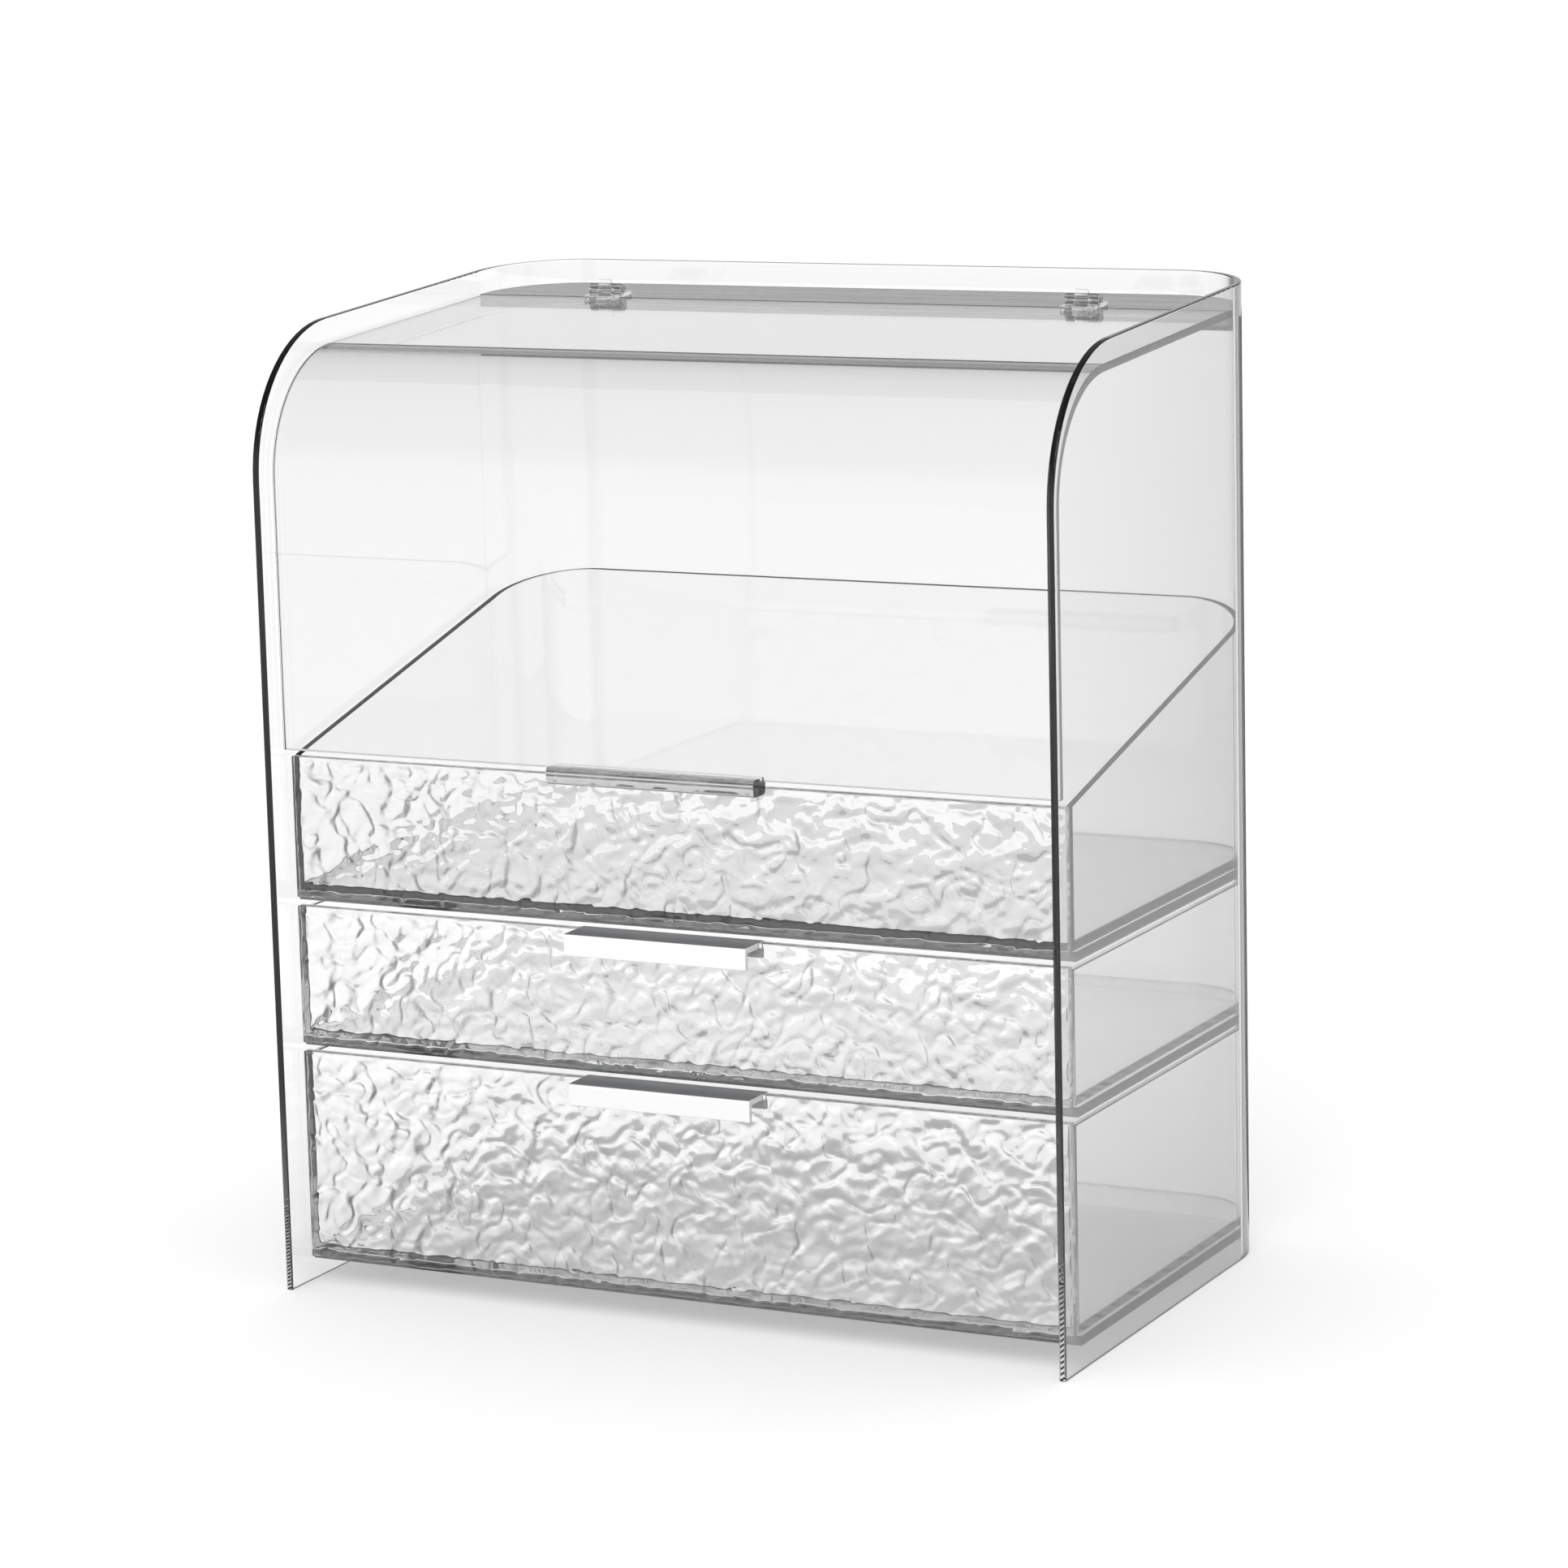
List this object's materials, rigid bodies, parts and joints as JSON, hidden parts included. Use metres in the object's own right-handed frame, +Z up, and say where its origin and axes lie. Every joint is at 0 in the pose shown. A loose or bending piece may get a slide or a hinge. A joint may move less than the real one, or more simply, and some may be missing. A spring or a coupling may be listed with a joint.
{
  "type": "makeup storage box",
  "caption": "Clear desktop makeup organiser: rounded case with a flip-up bent lid over an open tray, and rippled-front drawers with white pulls that slide out below it.",
  "frame": {"origin": "on the table, under the middle of the case", "axes": "+Z up, +Y to the back wall, +X to the right when facing the drawers"},
  "size_m": [0.26, 0.167, 0.302],
  "materials": {
    "clear_plastic": "clear moulded PET, polished",
    "rippled_plastic": "clear moulded PET, rippled like water",
    "smoke_plastic": "grey tinted clear plastic, polished",
    "clear_grip": "clear extruded plastic, polished",
    "white_plastic": "white moulded ABS, satin",
    "frosted_hinge": "natural moulded polypropylene, slightly milky",
    "pin_steel": "drawn stainless wire"
  },
  "bodies": {
    "case": {"outer_shell": "clear_plastic", "base_shelf": "clear_plastic", "middle_shelf": "clear_plastic", "upper_shelf": "clear_plastic", "top_tray": "clear_plastic", "top_tray_front": "rippled_plastic", "hinge_rail": "smoke_plastic", "hinge_rail_leaf_left": "frosted_hinge", "hinge_rail_leaf_right": "frosted_hinge", "hinge_pin_left": "pin_steel", "hinge_pin_right": "pin_steel"},
    "lid": {"lid_panel": "clear_plastic", "lid_pull": "clear_grip", "hinge_lid_leaf_left": "frosted_hinge", "hinge_lid_leaf_right": "frosted_hinge"},
    "drawer_upper": {"drawer_upper_box": "clear_plastic", "drawer_upper_front": "rippled_plastic", "drawer_upper_handle": "white_plastic"},
    "drawer_lower": {"drawer_lower_box": "clear_plastic", "drawer_lower_front": "rippled_plastic", "drawer_lower_handle": "white_plastic"}
  },
  "joints": [
    {"name": "lid_hinge", "type": "hinge", "parent": "case", "child": "lid", "pos_m": [0, 0.0535, 0.2952], "axis": [-1, 0, 0], "range_deg": [0, 118]},
    {"name": "drawer_upper_slide", "type": "slide", "parent": "case", "child": "drawer_upper", "axis": [0, -1, 0], "range_m": [0, 0.115]},
    {"name": "drawer_lower_slide", "type": "slide", "parent": "case", "child": "drawer_lower", "axis": [0, -1, 0], "range_m": [0, 0.115]}
  ]
}
